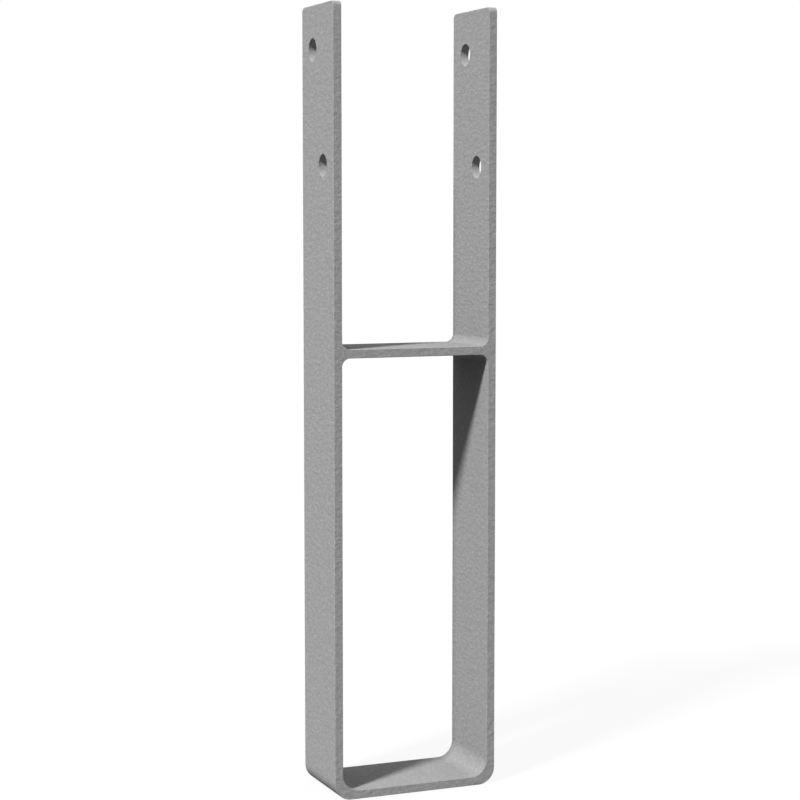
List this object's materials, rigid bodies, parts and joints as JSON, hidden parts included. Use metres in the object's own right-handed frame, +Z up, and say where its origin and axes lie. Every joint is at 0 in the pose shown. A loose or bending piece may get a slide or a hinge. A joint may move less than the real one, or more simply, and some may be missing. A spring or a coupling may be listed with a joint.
{
  "type": "timber post base",
  "caption": "H-shaped post anchor in galvanised flat bar: an open fork for a timber post above a welded crossbar, and a closed loop below it to cast into concrete.",
  "frame": {"origin": "middle of the underside, where the bent bar would stand on a table", "axes": "+X from the left cheek to the right one, +Y from the front edge of the bar to its back edge, +Z up, along the cheeks towards the open fork"},
  "size_m": [0.101, 0.05, 0.455],
  "materials": {
    "galvanised_steel": "hot-dip galvanised, matt, finely mottled"
  },
  "bodies": {
    "root": {"u_strap": "galvanised_steel", "crossbar": "galvanised_steel", "weld_left_upper": "galvanised_steel", "weld_left_lower": "galvanised_steel", "weld_right_upper": "galvanised_steel", "weld_right_lower": "galvanised_steel"}
  },
  "joints": []
}
